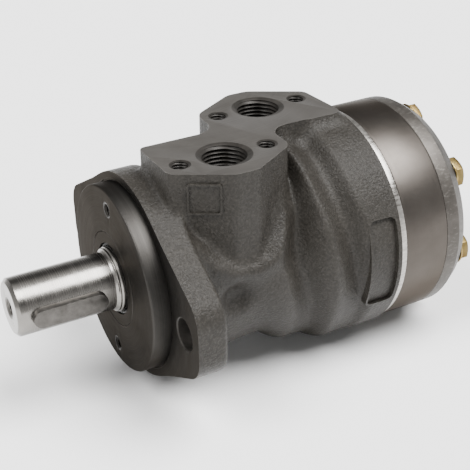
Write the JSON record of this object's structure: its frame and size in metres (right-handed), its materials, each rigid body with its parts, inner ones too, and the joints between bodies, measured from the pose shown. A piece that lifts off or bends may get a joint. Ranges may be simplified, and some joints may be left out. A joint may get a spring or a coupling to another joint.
{
  "type": "hydraulic motor",
  "caption": "Orbital hydraulic motor with a two-hole oval flange, round pilot, keyed output shaft, two threaded ports in a top face and a screwed rear cover.",
  "frame": {"origin": "centre of the mounting face on the shaft axis", "axes": "+X out along the output shaft, +Z out of the two ports"},
  "size_m": [0.202, 0.131, 0.1063],
  "materials": {
    "cast_iron": "rough cast, dark coated, machined faces satin",
    "machined_steel": "turned, dark satin",
    "seal_rubber": "matte",
    "bearing_steel": "ground",
    "ground_steel": "ground bright",
    "key_steel": "drawn satin",
    "plate_steel": "turned bright",
    "ring_steel": "dark satin coat",
    "cover_iron": "turned rough, scuffed",
    "yellow_zinc": "yellow passivated zinc",
    "washer_copper": "soft copper"
  },
  "bodies": {
    "root": {"housing": "cast_iron", "seal_carrier": "machined_steel", "carrier_o_ring": "seal_rubber", "dust_seal": "seal_rubber", "shaft_seal": "seal_rubber", "front_thrust_race": "bearing_steel", "channel_plate": "plate_steel", "gear_ring": "ring_steel", "end_cover": "cover_iron", "housing_o_ring": "seal_rubber", "ring_front_o_ring": "seal_rubber", "ring_rear_o_ring": "seal_rubber", "cover_screws": "yellow_zinc", "screw_washers": "yellow_zinc", "drain_plug": "yellow_zinc", "drain_washer": "washer_copper"},
    "shaft": {"output_shaft": "ground_steel", "parallel_key": "key_steel", "rear_thrust_race": "bearing_steel"},
    "thrust_bearing": {"thrust_cage": "bearing_steel", "thrust_needles": "bearing_steel"},
    "orbit": {"cardan_spacer": "bearing_steel"},
    "cardan": {"cardan_shaft": "bearing_steel"},
    "rotor_body": {"rotor": "bearing_steel"},
    "roller_body_1": {"roller_1": "bearing_steel"},
    "roller_body_2": {"roller_2": "bearing_steel"},
    "roller_body_3": {"roller_3": "bearing_steel"},
    "roller_body_4": {"roller_4": "bearing_steel"},
    "roller_body_5": {"roller_5": "bearing_steel"},
    "roller_body_6": {"roller_6": "bearing_steel"},
    "roller_body_7": {"roller_7": "bearing_steel"},
    "check_valve_1": {"check_ball_1": "bearing_steel"},
    "check_valve_2": {"check_ball_2": "bearing_steel"}
  },
  "joints": [
    {"name": "shaft_spin", "type": "hinge", "parent": "root", "child": "shaft", "pos_m": [0, 0, 0], "axis": [1, 0, 0], "continuous": true},
    {"name": "thrust_bearing_spin", "type": "hinge", "parent": "root", "child": "thrust_bearing", "pos_m": [-0.0115, 0, 0], "axis": [1, 0, 0], "continuous": true},
    {"name": "orbit_turn", "type": "hinge", "parent": "root", "child": "orbit", "pos_m": [0, 0, 0], "axis": [1, 0, 0], "continuous": true},
    {"name": "cardan_spin", "type": "hinge", "parent": "orbit", "child": "cardan", "pos_m": [-0.062, 0, 0], "axis": [0.9991, 0, 0.0429], "continuous": true},
    {"name": "rotor_spin", "type": "hinge", "parent": "orbit", "child": "rotor_body", "pos_m": [-0.1202, 0, -0.0025], "axis": [1, 0, 0], "continuous": true},
    {"name": "roller_1_spin", "type": "hinge", "parent": "root", "child": "roller_body_1", "pos_m": [-0.1202, 0, -0.034], "axis": [1, 0, 0], "continuous": true},
    {"name": "roller_2_spin", "type": "hinge", "parent": "root", "child": "roller_body_2", "pos_m": [-0.1202, 0.02658, -0.0212], "axis": [1, 0, 0], "continuous": true},
    {"name": "roller_3_spin", "type": "hinge", "parent": "root", "child": "roller_body_3", "pos_m": [-0.1202, 0.03315, 0.00757], "axis": [1, 0, 0], "continuous": true},
    {"name": "roller_4_spin", "type": "hinge", "parent": "root", "child": "roller_body_4", "pos_m": [-0.1202, 0.01475, 0.03063], "axis": [1, 0, 0], "continuous": true},
    {"name": "roller_5_spin", "type": "hinge", "parent": "root", "child": "roller_body_5", "pos_m": [-0.1202, -0.01475, 0.03063], "axis": [1, 0, 0], "continuous": true},
    {"name": "roller_6_spin", "type": "hinge", "parent": "root", "child": "roller_body_6", "pos_m": [-0.1202, -0.03315, 0.00757], "axis": [1, 0, 0], "continuous": true},
    {"name": "roller_7_spin", "type": "hinge", "parent": "root", "child": "roller_body_7", "pos_m": [-0.1202, -0.02658, -0.0212], "axis": [1, 0, 0], "continuous": true},
    {"name": "check_ball_1_lift", "type": "slide", "parent": "root", "child": "check_valve_1", "axis": [-1, 0, 0], "range_m": [0, 0.002]},
    {"name": "check_ball_2_lift", "type": "slide", "parent": "root", "child": "check_valve_2", "axis": [-1, 0, 0], "range_m": [0, 0.002]}
  ],
  "couplings": [
    {"joint": "thrust_bearing_spin", "follows": "shaft_spin", "ratio": 0.5},
    {"joint": "orbit_turn", "follows": "shaft_spin", "ratio": -6},
    {"joint": "cardan_spin", "follows": "shaft_spin", "ratio": 7},
    {"joint": "rotor_spin", "follows": "shaft_spin", "ratio": 7}
  ]
}
